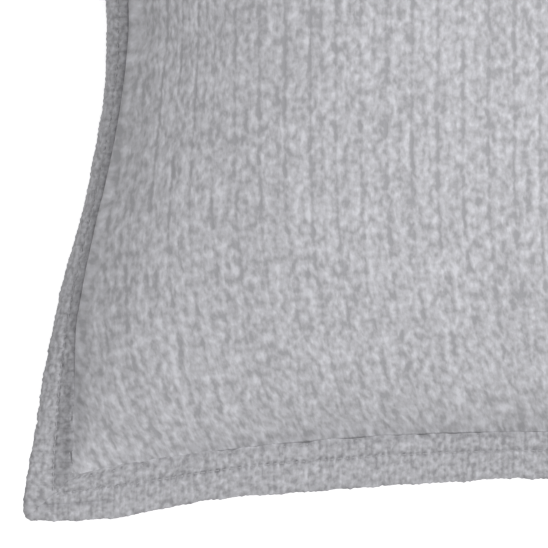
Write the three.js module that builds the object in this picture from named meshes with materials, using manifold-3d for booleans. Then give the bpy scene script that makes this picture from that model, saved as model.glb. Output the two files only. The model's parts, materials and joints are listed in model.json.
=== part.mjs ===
// Throw pillow: a heather grey knitted cover with a folded flange border, an
// invisible zip across the back, and a fibre-filled insert inside.
// Millimetres. The pillow lies on its back: +Z is out of the front face, +Y is
// towards its top edge, and the origin is under its centre on the surface it lies on.
import * as THREE from 'three';
import { mergeVertices } from 'three/addons/utils/BufferGeometryUtils.js';
import Module from 'manifold-3d';

const wasm = await Module();
wasm.setup();

// ---- driving dimensions ----
const TIP_X = 254;            // half width, tip to tip: a 20 inch cover
const TIP_Y = 254.5;
const SEAM_X = 229;           // half width of the stuffed body at its corners
const SEAM_Y = 233;
const SEAM_BOW_X = 30.4;      // how far the side seams pull in at their middle
const SEAM_BOW_Y = 23.2;      // the same for the top and bottom seams
// how far the outer edges stand in from the tips, at shares of the way from the middle to the tip
const SIDE_AT = [0, 0.12, 0.2, 0.28, 0.36, 0.44, 0.52, 0.6, 0.68, 0.76, 0.84, 0.92, 1];
const SIDE_IN = [43.2, 42, 39.6, 35.7, 31.4, 26.3, 21.1, 16.2, 12.6, 9.1, 6, 2.2, 0];
const END_AT = [0, 0.14, 0.3, 0.46, 0.54, 0.62, 0.7, 0.78, 0.86, 1];
const END_IN = [21.2, 19.3, 17.4, 14.2, 12.8, 10.3, 6.9, 3, 0.4, 0];
const MID_Z = 66;             // height of the seam plane
const FRONT_H = 84;           // crown of the front above the seam plane
const BACK_H = 86;            // crown of the back before it flattens on the table
const SETTLE = 8;             // softness of the edge of the flattened area
const CROWN_A = 2.4, CROWN_B = 0.6;
const RIM = 0.6;              // half gap between the two panels at the seam
const CLOTH = 1.2;            // thickness of the knit
const FLANGE_DROP_X = 16;     // how much further the side flanges curl back at their middle
const FLANGE_DROP_Y = 3;
const TIP_DROP = 4;           // how far the corners curl back
const FLANGE_GAP = 1.6;
const STITCH_AT = 0.37;       // topstitch position across the flange
const INSERT_OFF = 10.5;      // the insert's surface inside the cover's surface
const INSERT_CLOTH = 0.8;
const ZIP_Y = -165;           // the zip's line on the back
const ZIP_Z = 19;
const ZIP_TILT = 30 * Math.PI / 180;
const ZIP_HALF = 160;         // half length of the opening
const ZIP_SLOT = 1.6;         // gap between the two folded edges
const ZIP_TRAVEL = 148;       // the slider's centre at either end
const TAPE_W = 13, TAPE_T = 0.7;
const COIL_W = 2.2, COIL_H = 2.4;
const PIN_R = 0.55, EYE_R = 0.9;

// ---- the cover's shape ----
const half = (v) => 0.5 * (1 + Math.cos(Math.PI * Math.min(1, Math.abs(v))));
const xSeam = (v) => SEAM_X - SEAM_BOW_X * Math.pow(half(v), 1.45);
const inset = (at, depth, t) => {
  const a = Math.min(1, Math.abs(t));
  let i = 0;
  while (i < at.length - 2 && a > at[i + 1]) i++;
  return depth[i] + (depth[i + 1] - depth[i]) * (a - at[i]) / (at[i + 1] - at[i]);
};
const ySeam = (u) => SEAM_Y - SEAM_BOW_Y * Math.pow(Math.max(0, 1 - u * u), 0.9);
const crown = (u) => Math.pow(Math.max(0, 1 - Math.pow(Math.min(1, Math.abs(u)), CROWN_A)), CROWN_B);
const step = (a, b, x) => { const t = Math.min(1, Math.max(0, (x - a) / (b - a))); return t * t * (3 - 2 * t); };

function frontPoint(u, v) {
  return new THREE.Vector3(u * xSeam(v), v * ySeam(u), MID_Z + RIM + (FRONT_H - RIM) * crown(u) * crown(v));
}
function backPoint(u, v) {
  const x = u * xSeam(v), y = v * ySeam(u);
  let z = MID_Z - RIM - (BACK_H - RIM) * crown(u) * crown(v);
  z = z > SETTLE ? z : z < -SETTLE ? 0 : (z + SETTLE) * (z + SETTLE) / (4 * SETTLE);
  const w = (1 - step(17, 42, Math.abs(y - ZIP_Y))) * (1 - step(170, 212, Math.abs(x)));
  const plane = ZIP_Z - (y - ZIP_Y) * Math.tan(ZIP_TILT);
  return new THREE.Vector3(x, y, z + (plane - z) * w);
}
// inward direction: the normal of an ellipsoid of the pillow's proportions
function inward(p) {
  const d = new THREE.Vector3(-p.x / (SEAM_X * SEAM_X), -p.y / (SEAM_Y * SEAM_Y), -(p.z - MID_Z) / (75 * 75));
  return d.normalize();
}
const off = (fn, t) => (u, v) => { const p = fn(u, v); return p.addScaledVector(inward(p), t); };

// ---- mesh helpers ----
function solidFrom(points, faces) {
  const g = new THREE.BufferGeometry();
  g.setAttribute('position', new THREE.Float32BufferAttribute(points.flatMap((p) => [p.x, p.y, p.z]), 3));
  let vol = 0;
  for (const [a, b, c] of faces) vol += points[a].dot(new THREE.Vector3().crossVectors(points[b], points[c]));
  g.setIndex(vol < 0 ? faces.flatMap(([a, b, c]) => [a, c, b]) : faces.flat());
  g.computeVertexNormals();
  return g;
}
// a closed wall between two surfaces over the same (u, v) stations
function wall(us, vs, outer, inner) {
  const nu = us.length, nv = vs.length, pts = [], f = [];
  for (const fn of [outer, inner]) for (let i = 0; i < nu; i++) for (let j = 0; j < nv; j++) pts.push(fn(us[i], vs[j]));
  const o = (i, j) => i * nv + j, n = (i, j) => nu * nv + i * nv + j;
  for (let i = 0; i < nu - 1; i++) for (let j = 0; j < nv - 1; j++) {
    const flip = (us[i] + us[i + 1]) * (vs[j] + vs[j + 1]) > 0;
    const quad = (id, back) => {
      const a = id(i, j), b = id(i + 1, j), c = id(i + 1, j + 1), d = id(i, j + 1);
      const t = flip ? [[a, b, c], [a, c, d]] : [[a, b, d], [b, c, d]];
      for (const q of t) f.push(back ? [q[0], q[2], q[1]] : q);
    };
    quad(o, false); quad(n, true);
  }
  const side = (ring) => {
    for (let k = 0; k < ring.length - 1; k++) {
      const [i, j] = ring[k], [p, q] = ring[k + 1];
      f.push([o(i, j), n(i, j), o(p, q)], [o(p, q), n(i, j), n(p, q)]);
    }
  };
  const ring = [];
  for (let i = 0; i < nu; i++) ring.push([i, 0]);
  for (let j = 1; j < nv; j++) ring.push([nu - 1, j]);
  for (let i = nu - 2; i >= 0; i--) ring.push([i, nv - 1]);
  for (let j = nv - 2; j >= 0; j--) ring.push([0, j]);
  side(ring);
  return solidFrom(pts, f);
}
// a closed tube of small polygon section round a closed loop of points
function loopTube(pts, r, sides) {
  const n = pts.length, P = [], f = [];
  for (let i = 0; i < n; i++) {
    const t = new THREE.Vector3().subVectors(pts[(i + 1) % n], pts[(i + n - 1) % n]).normalize();
    const up = new THREE.Vector3(0, 0, 1), s = new THREE.Vector3().crossVectors(t, up).normalize();
    up.crossVectors(s, t);
    for (let k = 0; k < sides; k++) {
      const a = 2 * Math.PI * (k + 0.5) / sides;
      P.push(pts[i].clone().addScaledVector(s, r * Math.cos(a)).addScaledVector(up, r * Math.sin(a)));
    }
  }
  for (let i = 0; i < n; i++) for (let k = 0; k < sides; k++) {
    const a = i * sides + k, b = i * sides + (k + 1) % sides, c = ((i + 1) % n) * sides + k, d = ((i + 1) % n) * sides + (k + 1) % sides;
    f.push([a, b, c], [b, d, c]);
  }
  return solidFrom(P, f);
}
const ease = (n, e) => Array.from({ length: n + 1 }, (_, i) => {
  const s = -1 + 2 * i / n;
  return (1 - e) * s + e * Math.sin(Math.PI * s / 2);
});

const root = new THREE.Group();
function add(name, geometry, color, roughness, metalness = 0, parent = root) {
  const m = new THREE.Mesh(geometry, new THREE.MeshStandardMaterial({ color, roughness, metalness }));
  m.name = name;
  parent.add(m);
  return m;
}
const KNIT = 0xbbbbbf, KNIT_FLANGE = 0xaeaeb3, THREAD = 0xa6a6ab, COTTON = 0xf0efea, FIBRE = 0xf7f7f5;

// ---- front panel ----
const gridP = ease(22, 0.8);
add('front_panel', wall(gridP, gridP, frontPoint, off(frontPoint, CLOTH)), KNIT, 0.95);

// ---- back panels, above and below the zip ----
const edgeV = (u, s) => (ZIP_Y + s * (0.15 + (ZIP_SLOT / 2 - 0.15) * (1 - step(ZIP_HALF, ZIP_HALF + 8, Math.abs(u * SEAM_X * 0.955))))) / ySeam(u);
const gridU = [-1, -0.975, -0.93, -0.87, -0.8, -0.755, -0.72, -0.6, -0.45, -0.3, -0.15, 0, 0.15, 0.3, 0.45, 0.6, 0.72, 0.755, 0.8, 0.87, 0.93, 0.975, 1];
const upperV = (u, s) => { const a = edgeV(u, 1), b = (ZIP_Y + 16.5) / ySeam(u); return s < 0.1 ? a + (b - a) * s / 0.1 : b + (1 - b) * Math.sin(Math.PI / 2 * Math.pow((s - 0.1) / 0.9, 0.9)); };
const lowerV = (u, s) => { const a = edgeV(u, -1), b = (ZIP_Y - 15) / ySeam(u); return s < 0.4 ? a + (b - a) * s / 0.4 : b + (-1 - b) * Math.sin(Math.PI / 2 * (s - 0.4) / 0.6); };
const rowsUp = [0, 0.1, 0.16, 0.23, 0.31, 0.39, 0.47, 0.55, 0.63, 0.71, 0.78, 0.85, 0.91, 0.96, 1];
const rowsLow = [0, 0.4, 0.55, 0.7, 0.85, 1];
// on the zip's own plane the cloth is a flat wall, elsewhere it follows the body
function backInner(t) {
  return (u, v) => {
    const p = backPoint(u, v), d = inward(p);
    const w = (1 - step(18, 40, Math.abs(p.y - ZIP_Y))) * (1 - step(172, 205, Math.abs(p.x)));
    const nz = new THREE.Vector3(0, Math.sin(ZIP_TILT), Math.cos(ZIP_TILT));
    return p.addScaledVector(d.lerp(nz, w).normalize(), t);
  };
}
add('back_panel_upper', wall(gridU, rowsUp, (u, s) => backPoint(u, upperV(u, s)), (u, s) => backInner(CLOTH)(u, upperV(u, s))), KNIT, 0.95);
add('back_panel_lower', wall(gridU, rowsLow, (u, s) => backPoint(u, lowerV(u, s)), (u, s) => backInner(CLOTH)(u, lowerV(u, s))), KNIT, 0.95);

// ---- flange border: four folded strips that meet in mitred corners ----
const edges = {
  left: {
    inner: (t) => new THREE.Vector3(-xSeam(t) - FLANGE_GAP, t * (SEAM_Y + FLANGE_GAP), MID_Z),
    outer: (t) => new THREE.Vector3(-(TIP_X - inset(SIDE_AT, SIDE_IN, t)), t * TIP_Y, MID_Z - TIP_DROP - FLANGE_DROP_X * Math.pow(half(t), 0.8)),
  },
  bottom: {
    inner: (t) => new THREE.Vector3(-t * (SEAM_X + FLANGE_GAP), -ySeam(t) - FLANGE_GAP, MID_Z),
    outer: (t) => new THREE.Vector3(-t * TIP_X, -(TIP_Y - inset(END_AT, END_IN, t)), MID_Z - TIP_DROP - FLANGE_DROP_Y * half(t)),
  },
};
const turn = (fn) => (t) => { const p = fn(t); return new THREE.Vector3(-p.x, -p.y, p.z); };
edges.right = { inner: turn(edges.left.inner), outer: turn(edges.left.outer) };
edges.top = { inner: turn(edges.bottom.inner), outer: turn(edges.bottom.outer) };
const FLANGE_PROFILE = [[0, 0.5], [0.37, 0.9], [0.7, 2.0], [0.9, 1.7], [1, 0]];
function flangeFrame(e, t) {
  const I = e.inner(t), O = e.outer(t), d = 1e-3;
  const tan = new THREE.Vector3().subVectors(e.inner(Math.min(1, t + d)), e.inner(Math.max(-1, t - d))).normalize();
  const across = new THREE.Vector3().subVectors(O, I);
  const up = new THREE.Vector3().crossVectors(across, tan).normalize();
  if (up.z < 0) up.negate();
  up.lerp(new THREE.Vector3(0, 0, 1), step(0.75, 1, Math.abs(t))).normalize();   // the mitred ends stand upright
  return { I, across, up };
}
const flangeTs = Array.from({ length: 23 }, (_, i) => (1 - 0.0016) * (-1 + 2 * i / 22));
for (const side of ['left', 'bottom', 'right', 'top']) {
  const e = edges[side], P = [], f = [];
  const m = 2 * FLANGE_PROFILE.length - 1;
  for (const t of flangeTs) {
    const { I, across, up } = flangeFrame(e, t);
    const at = (s, h) => I.clone().addScaledVector(across, s).addScaledVector(up, h);
    for (const [s, h] of FLANGE_PROFILE) P.push(at(s, h));
    for (let k = FLANGE_PROFILE.length - 2; k >= 0; k--) P.push(at(FLANGE_PROFILE[k][0], -FLANGE_PROFILE[k][1]));
  }
  const n = flangeTs.length;
  for (let i = 0; i < n - 1; i++) for (let k = 0; k < m; k++) {
    const a = i * m + k, b = i * m + (k + 1) % m, c = (i + 1) * m + k, d = (i + 1) * m + (k + 1) % m;
    f.push([a, b, c], [b, d, c]);
  }
  for (const [base, flip] of [[0, true], [(n - 1) * m, false]]) {
    for (let k = 0; k < FLANGE_PROFILE.length - 1; k++) {
      const a = base + k, b = base + k + 1, c = base + (m - k) % m, d = base + (m - k - 1) % m;
      const q = c === a ? [[a, b, d]] : d === b ? [[a, b, c]] : [[a, b, c], [b, d, c]];
      if (k === 0) { f.push(...[[a, b, base + m - 1], [b, base + m - 2, base + m - 1]].map((x) => flip ? [x[0], x[2], x[1]] : x)); continue; }
      const cc = base + m - 1 - k, dd = base + m - 2 - k;
      const w = dd === b ? [[a, b, cc]] : [[a, b, cc], [b, dd, cc]];
      f.push(...w.map((x) => flip ? [x[0], x[2], x[1]] : x));
    }
  }
  add('flange_' + side, solidFrom(P, f), KNIT_FLANGE, 0.95);
}
function flangeLoop(s, h) {
  const pts = [];
  for (const side of ['bottom', 'left', 'top', 'right']) {
    for (let i = 0; i < 22; i++) {
      const t = -1 + 2 * i / 22;
      const { I, across, up } = flangeFrame(edges[side], t);
      pts.push(I.addScaledVector(across, s).addScaledVector(up, h));
    }
  }
  return pts;
}
// order the loop by angle round the pillow, so that it runs once round the border
const byAngle = (pts) => pts.sort((a, b) => Math.atan2(a.y, a.x) - Math.atan2(b.y, b.x));
add('flange_topstitch_front', loopTube(byAngle(flangeLoop(STITCH_AT, 1.7)), 0.4, 3), THREAD, 0.8);
add('flange_topstitch_back', loopTube(byAngle(flangeLoop(STITCH_AT, -1.7)), 0.4, 3), THREAD, 0.8);

// ---- the body seam's thread, between the rims of the panels ----
function seamLoop(inset, grid) {
  const pts = [], n = grid.length - 1;
  const put = (u, v) => { const p = new THREE.Vector3(u * xSeam(v), v * ySeam(u), MID_Z); pts.push(p.addScaledVector(inward(p), inset)); };
  for (let i = 0; i < n; i++) put(grid[i], -1);
  for (let i = 0; i < n; i++) put(1, grid[i]);
  for (let i = 0; i < n; i++) put(-grid[i], 1);
  for (let i = 0; i < n; i++) put(-1, -grid[i]);
  return pts;
}
add('body_seam_thread', loopTube(seamLoop(0.7, gridP), 0.28, 3), THREAD, 0.8);

// ---- the insert: two cotton shells, their seam and the fibre fill ----
const gridI = ease(14, 0.8);
add('insert_front_shell', wall(gridI, gridI, off(frontPoint, INSERT_OFF), off(frontPoint, INSERT_OFF + INSERT_CLOTH)), COTTON, 0.9);
add('insert_back_shell', wall(gridI, gridI, off(backPoint, INSERT_OFF), off(backPoint, INSERT_OFF + INSERT_CLOTH)), COTTON, 0.9);
add('insert_fill', wall(gridI, gridI, off(frontPoint, INSERT_OFF + INSERT_CLOTH + 0.4), off(backPoint, INSERT_OFF + INSERT_CLOTH + 0.4)), FIBRE, 1.0);
add('insert_seam_thread', loopTube(seamLoop(INSERT_OFF + INSERT_CLOTH / 2, gridI), 0.25, 3), COTTON, 0.8);

// ---- labels, both blank: one in the cover, one on the insert ----
function label(u0, u1, v0, v1, fn, t) {
  const us = [0, 1, 2, 3].map((i) => u0 + (u1 - u0) * i / 3), vs = [0, 1, 2, 3, 4].map((i) => v0 + (v1 - v0) * i / 4);
  return wall(us, vs, off(fn, t), off(fn, t + 0.4));
}
add('care_label', label(0.3, 0.42, 0.05, 0.27, backPoint, 3), 0xf4f4f2, 0.7);
add('insert_label', label(-0.45, -0.3, 0.1, 0.32, backPoint, INSERT_OFF - 1.1), 0xf4f4f2, 0.7);

// ---- the zip, straight and flat, in its own frame: X along, V across, N inward ----
const zip = new THREE.Group();
zip.position.set(0, ZIP_Y, ZIP_Z);
zip.rotation.x = -ZIP_TILT;
root.add(zip);
// a prism whose section is drawn in (V, N) and which runs along X
function along(section, x0, x1, holes = []) {
  const s = new THREE.Shape(section.map(([v, n]) => new THREE.Vector2(v, n)));
  for (const h of holes) s.holes.push(h);
  const g = new THREE.ExtrudeGeometry(s, { depth: x1 - x0, bevelEnabled: false, curveSegments: 10 });
  const m = new THREE.Matrix4().set(0, 0, 1, x0, 1, 0, 0, 0, 0, 1, 0, 0, 0, 0, 0, 1);
  return g.applyMatrix4(m);
}
const box = (v0, v1, n0, n1) => [[v0, n0], [v1, n0], [v1, n1], [v0, n1]];
function weld(g) {
  g.deleteAttribute('normal'); g.deleteAttribute('uv');
  return mergeVertices(g, 1e-4);
}
const TAPE_N = CLOTH + 0.3, COIL_N = TAPE_N + TAPE_T + 0.3;
for (const [name, s] of [['upper', 1], ['lower', -1]]) {
  const sec = (a, b, n0, n1) => box(Math.min(s * a, s * b), Math.max(s * a, s * b), n0, n1);
  add('zip_tape_' + name, weld(along(sec(0.9, 0.9 + TAPE_W, TAPE_N, TAPE_N + TAPE_T), -ZIP_HALF, ZIP_HALF)), 0x9c9ca1, 0.85, 0, zip);
  const c = [[0.75, COIL_N + 0.6], [1.3, COIL_N], [2.4, COIL_N], [2.95, COIL_N + 0.6], [2.95, COIL_N + 1.8], [2.4, COIL_N + COIL_H], [1.3, COIL_N + COIL_H], [0.75, COIL_N + 1.8]].map(([v, n]) => [s * v, n]);
  add('zip_coil_' + name, weld(along(s > 0 ? c : c.reverse(), -154, 154)), 0xa9a9ae, 0.4, 0, zip);
  add('zip_top_stop_' + name, weld(along(sec(0.45, 3.25, COIL_N, COIL_N + 2.8), 154.4, 157)), 0xb8b8bc, 0.35, 0, zip);
  add('zip_stitch_' + name, weld(along(sec(8.6, 9.2, TAPE_N + TAPE_T + 0.3, TAPE_N + TAPE_T + 0.9), -158, 158)), THREAD, 0.8, 0, zip);
}
add('zip_bottom_stop', weld(along(box(-3.25, 3.25, COIL_N, COIL_N + 2.8), -157, -154.4)), 0xb8b8bc, 0.35, 0, zip);
add('bar_tack_left', weld(along(box(-3.2, 3.2, -1.0, -0.35), -163.2, -161.2)), THREAD, 0.8, 0, zip);
add('bar_tack_right', weld(along(box(-3.2, 3.2, -1.0, -0.35), 161.2, 163.2)), THREAD, 0.8, 0, zip);

// slider: a channel over both coils, and an eye that reaches out through the slot
const N0 = -2.5;              // the pull's pivot, outside the cloth
function toManifold(g) {
  const m = weld(g.index ? g.toNonIndexed() : g);
  return new wasm.Manifold(new wasm.Mesh({ numProp: 3, vertProperties: new Float32Array(m.attributes.position.array), triVerts: new Uint32Array(m.index.array) }));
}
function fromManifold(m) {
  const o = m.getMesh(), g = new THREE.BufferGeometry();
  g.setAttribute('position', new THREE.BufferAttribute(new Float32Array(o.vertProperties), 3));
  g.setIndex(new THREE.BufferAttribute(new Uint32Array(o.triVerts), 1));
  return g;
}
const top = COIL_N + COIL_H + 0.4, sideIn = 3.4, sideOut = 4.7, crest = top + 1.2;
const channel = along([[-sideOut, COIL_N - 0.1], [-sideIn, COIL_N - 0.1], [-sideIn, top], [sideIn, top], [sideIn, COIL_N - 0.1], [sideOut, COIL_N - 0.1], [sideOut, crest - 0.8], [sideOut - 0.8, crest], [-sideOut + 0.8, crest], [-sideOut, crest - 0.8]], -5, 5);
// the stem and its eye, drawn in (X, N) and 0.9 thick across
const stem = new THREE.Shape();
stem.moveTo(-1.7, top + 0.6);
stem.lineTo(-1.7, N0);
stem.absarc(0, N0, 1.7, Math.PI, 2 * Math.PI, false);
stem.lineTo(1.7, top + 0.6);
stem.closePath();
const eye = new THREE.Path();
eye.absarc(0, N0, EYE_R, 0, 2 * Math.PI, true);
stem.holes.push(eye);
// drawn in (X, N), so the extrusion runs along V
const acrossV = (g, v0) => g.applyMatrix4(new THREE.Matrix4().set(1, 0, 0, 0, 0, 0, -1, -v0, 0, 1, 0, 0, 0, 0, 0, 1));
const stemSolid = acrossV(new THREE.ExtrudeGeometry(stem, { depth: 0.9, bevelEnabled: false, curveSegments: 12 }), -0.45);
const slider = new THREE.Group();
slider.position.x = ZIP_TRAVEL;
zip.add(slider);
add('zip_slider', fromManifold(toManifold(channel).add(toManifold(stemSolid))), 0xb4b4b8, 0.3, 0.9, slider);

// pull tab: two cheeks, a pin through the eye, and a drop-shaped plate
const drop = new THREE.Shape();
drop.moveTo(-1.4, 0);
drop.absarc(0, 0, 1.4, Math.PI, 0, true);
drop.lineTo(1.4, -2.6);
drop.bezierCurveTo(1.8, -6, 3.1, -8.5, 3.1, -10.4);
drop.absarc(0, -10.4, 3.1, 0, -Math.PI, true);
drop.bezierCurveTo(-3.1, -8.5, -1.8, -6, -1.4, -2.6);
drop.closePath();
const plate = acrossV(new THREE.ExtrudeGeometry(drop, { depth: 3.4, bevelEnabled: false, curveSegments: 10 }), -1.7);
const fork = acrossV(new THREE.ExtrudeGeometry(new THREE.Shape([[-3, -2.5], [3, -2.5], [3, 3], [-3, 3]].map(([a, b]) => new THREE.Vector2(a, b))), { depth: 1.6, bevelEnabled: false }), -0.8);
const thin1 = acrossV(new THREE.ExtrudeGeometry(new THREE.Shape([[-5, -15], [5, -15], [5, -4.2], [-5, -4.2]].map(([a, b]) => new THREE.Vector2(a, b))), { depth: 1.5, bevelEnabled: false }), -2.3);
const thin2 = acrossV(new THREE.ExtrudeGeometry(new THREE.Shape([[-5, -15], [5, -15], [5, -4.2], [-5, -4.2]].map(([a, b]) => new THREE.Vector2(a, b))), { depth: 1.5, bevelEnabled: false }), 0.8);
const pinG = new THREE.CylinderGeometry(PIN_R, PIN_R, 2.6, 14);
const pull = new THREE.Group();
pull.position.z = N0;
slider.add(pull);
const tab = toManifold(plate).subtract(toManifold(fork)).subtract(toManifold(thin1)).subtract(toManifold(thin2)).add(toManifold(pinG));
add('zip_pull_tab', fromManifold(tab), 0xb4b4b8, 0.3, 0.9, pull);

export default root;
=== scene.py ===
# Looks of the throw pillow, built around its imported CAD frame. Metres, same frame as the CAD.
import bpy
import json
import math
import numpy as np
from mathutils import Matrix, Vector

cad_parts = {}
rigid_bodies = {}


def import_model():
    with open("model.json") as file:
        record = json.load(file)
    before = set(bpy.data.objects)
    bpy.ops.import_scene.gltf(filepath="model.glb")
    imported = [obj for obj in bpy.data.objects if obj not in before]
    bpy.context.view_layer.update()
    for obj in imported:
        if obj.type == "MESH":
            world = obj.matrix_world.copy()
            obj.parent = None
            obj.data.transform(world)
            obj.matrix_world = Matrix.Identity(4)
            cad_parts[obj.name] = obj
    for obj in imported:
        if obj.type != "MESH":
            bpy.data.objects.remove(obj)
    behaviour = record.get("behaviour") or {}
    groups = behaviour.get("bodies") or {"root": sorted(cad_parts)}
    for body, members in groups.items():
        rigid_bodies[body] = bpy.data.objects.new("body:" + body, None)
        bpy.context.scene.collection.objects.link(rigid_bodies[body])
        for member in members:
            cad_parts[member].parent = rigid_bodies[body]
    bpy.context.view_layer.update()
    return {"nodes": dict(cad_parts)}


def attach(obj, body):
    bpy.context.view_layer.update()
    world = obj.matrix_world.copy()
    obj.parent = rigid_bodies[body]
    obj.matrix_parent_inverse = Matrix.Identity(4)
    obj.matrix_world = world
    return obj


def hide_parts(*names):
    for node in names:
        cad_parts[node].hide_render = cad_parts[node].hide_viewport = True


for _o in list(bpy.data.objects):
    bpy.data.objects.remove(_o, do_unlink=True)
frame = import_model()

# ------------------------------------------------------------------ sizes, in mm as in the CAD
TIP_X, TIP_Y = 254.0, 254.5
SEAM_X, SEAM_Y = 229.0, 233.0
BOW_X, BOW_Y = 30.4, 23.2
EDGE_BOW_X, EDGE_BOW_Y = 43.0, 21.0
MID_Z, FRONT_H, BACK_H = 66.0, 84.0, 86.0
RIM = 0.6
TIP_R = 6.0
ZIP_Y, ZIP_Z, ZIP_TILT, ZIP_HALF = -165.0, 19.0, math.radians(30), 160.0
INSERT_OFF = 10.5
WALE = 6.2


def half(v):
    return 0.5 * (1 + np.cos(np.pi * np.minimum(1, np.abs(v))))


def x_seam(v):
    return SEAM_X - BOW_X * half(v) ** 1.45


def y_seam(u):
    return SEAM_Y - BOW_Y * np.maximum(0, 1 - u * u) ** 0.9


def crown(u, a=2.4, b=0.6):
    return np.maximum(0, 1 - np.minimum(1, np.abs(u)) ** a) ** b


def smooth(a, b, x):
    t = np.clip((x - a) / (b - a), 0, 1)
    return t * t * (3 - 2 * t)


def settle(z, k=8.0):
    """The back flattens where it lies."""
    return np.where(z > k, z, np.where(z < -k, 0, (z + k) ** 2 / (4 * k)))


def zip_weight(x, y):
    return (1 - smooth(15, 42, np.abs(y - ZIP_Y))) * (1 - smooth(168, 212, np.abs(x)))


def zip_plane(y):
    return ZIP_Z - (y - ZIP_Y) * math.tan(ZIP_TILT)


def analytic(u, v, front=True):
    x, y = u * x_seam(v), v * y_seam(u)
    c = crown(u) * crown(v)
    if front:
        z = MID_Z + RIM + (FRONT_H - RIM) * c
    else:
        z = settle(MID_Z - RIM - (BACK_H - RIM) * c)
        w = zip_weight(x, y)
        z = z + (zip_plane(y) - z) * w
    return np.stack([x, y, z], -1)


# ------------------------------------------------------------------ seeded noise
class Noise:
    """Smooth value noise of two variables, the same every run."""

    def __init__(self, seed, n=64):
        self.g = np.random.RandomState(seed).uniform(-1, 1, (n, n))
        self.n = n

    def __call__(self, x, y):
        x, y = np.asarray(x, float), np.asarray(y, float)
        xi, yi = np.floor(x).astype(int), np.floor(y).astype(int)
        fx, fy = x - xi, y - yi
        fx, fy = fx * fx * (3 - 2 * fx), fy * fy * (3 - 2 * fy)
        n = self.n
        a, b = self.g[xi % n, yi % n], self.g[(xi + 1) % n, yi % n]
        c, d = self.g[xi % n, (yi + 1) % n], self.g[(xi + 1) % n, (yi + 1) % n]
        return (a * (1 - fx) + b * fx) * (1 - fy) + (c * (1 - fx) + d * fx) * fy


N1, N2, N3, N4, N5 = (Noise(s) for s in (11, 23, 37, 41, 59))


def cubic(grid, us, vs):
    """Bicubic samples of a (nu, nv, k) grid over [-1, 1]^2 at the outer product of us and vs."""
    def weights(t, n):
        p = (np.clip(t, -1, 1) + 1) / 2 * (n - 1)
        i = np.clip(np.floor(p).astype(int), 0, n - 2)
        f = p - i
        w = np.stack([-0.5 * f + f**2 - 0.5 * f**3, 1 - 2.5 * f**2 + 1.5 * f**3,
                      0.5 * f + 2 * f**2 - 1.5 * f**3, -0.5 * f**2 + 0.5 * f**3], -1)
        k = i[..., None] + np.arange(-1, 3)
        return k, w

    def pad(g):
        g = np.concatenate([2 * g[:1] - g[1:2], g, 2 * g[-1:] - g[-2:-1]], 0)
        return np.concatenate([2 * g[:, :1] - g[:, 1:2], g, 2 * g[:, -1:] - g[:, -2:-1]], 1)

    nu, nv = grid.shape[:2]
    g = pad(grid)
    ku, wu = weights(us, nu)
    kv, wv = weights(vs, nv)
    rows = np.einsum("ak,akvc->avc", wu, g[ku + 1])
    return np.einsum("bk,abkc->abc", wv, rows[:, kv + 1])


def cubic_at(grid, u, v):
    """The same at scattered points u, v of equal shape."""
    nu, nv = grid.shape[:2]

    def weights(t, n):
        p = (np.clip(t, -1, 1) + 1) / 2 * (n - 1)
        i = np.clip(np.floor(p).astype(int), 0, n - 2)
        f = p - i
        w = np.stack([-0.5 * f + f**2 - 0.5 * f**3, 1 - 2.5 * f**2 + 1.5 * f**3,
                      0.5 * f + 2 * f**2 - 1.5 * f**3, -0.5 * f**2 + 0.5 * f**3], -1)
        return i, w

    g = np.concatenate([2 * grid[:1] - grid[1:2], grid, 2 * grid[-1:] - grid[-2:-1]], 0)
    g = np.concatenate([2 * g[:, :1] - g[:, 1:2], g, 2 * g[:, -1:] - g[:, -2:-1]], 1)
    iu, wu = weights(u, nu)
    iv, wv = weights(v, nv)
    out = 0
    for a in range(4):
        for b in range(4):
            out = out + (wu[..., a] * wv[..., b])[..., None] * g[iu + a, iv + b]
    return out


# ------------------------------------------------------------------ mesh helpers
def new_object(name, verts_mm, faces, smooth_shade=True):
    me = bpy.data.meshes.new(name)
    verts = np.asarray(verts_mm, float).reshape(-1, 3) / 1000
    if isinstance(faces, np.ndarray):
        k = faces.shape[1]
        me.vertices.add(len(verts))
        me.vertices.foreach_set("co", verts.astype(np.float32).ravel())
        me.loops.add(faces.size)
        me.loops.foreach_set("vertex_index", faces.astype(np.int32).ravel())
        me.polygons.add(len(faces))
        me.polygons.foreach_set("loop_start", np.arange(0, faces.size, k, dtype=np.int32))
        me.polygons.foreach_set("loop_total", np.full(len(faces), k, np.int32))
        me.update(calc_edges=True)
    else:
        me.from_pydata([tuple(v) for v in verts], [], [tuple(int(i) for i in f) for f in faces])
    me.validate()
    me.polygons.foreach_set("use_smooth", np.full(len(me.polygons), smooth_shade))
    o = bpy.data.objects.new(name, me)
    bpy.context.scene.collection.objects.link(o)
    return o


def set_cloth(o, xyz_mm):
    """Where each point lies in the flat cloth: across the wales, along them, and how matted it is."""
    a = o.data.attributes.new("cloth", "FLOAT_VECTOR", "POINT")
    a.data.foreach_set("vector", np.asarray(xyz_mm, np.float32).ravel())


def set_painted_shade(o, values):
    """Painted shade, 0 to 1: how far the colour is darkened where shade falls in the valley of a seam, the dents of a
    row of stitches or a crease.
    """
    a = o.data.attributes.new("painted_shade", "FLOAT", "POINT")
    a.data.foreach_set("value", np.asarray(values, np.float32).ravel())


def grid_quads(nu, nv, base=0, flip=False):
    i, j = np.meshgrid(np.arange(nu - 1), np.arange(nv - 1), indexing="ij")
    a = base + i * nv + j
    q = np.stack([a, a + nv, a + nv + 1, a + 1], -1).reshape(-1, 4)
    return q[:, ::-1] if flip else q


def normals_of(P):
    du = np.gradient(P, axis=0)
    dv = np.gradient(P, axis=1)
    n = np.cross(du, dv)
    return n / np.maximum(np.linalg.norm(n, axis=-1, keepdims=True), 1e-9)


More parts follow.
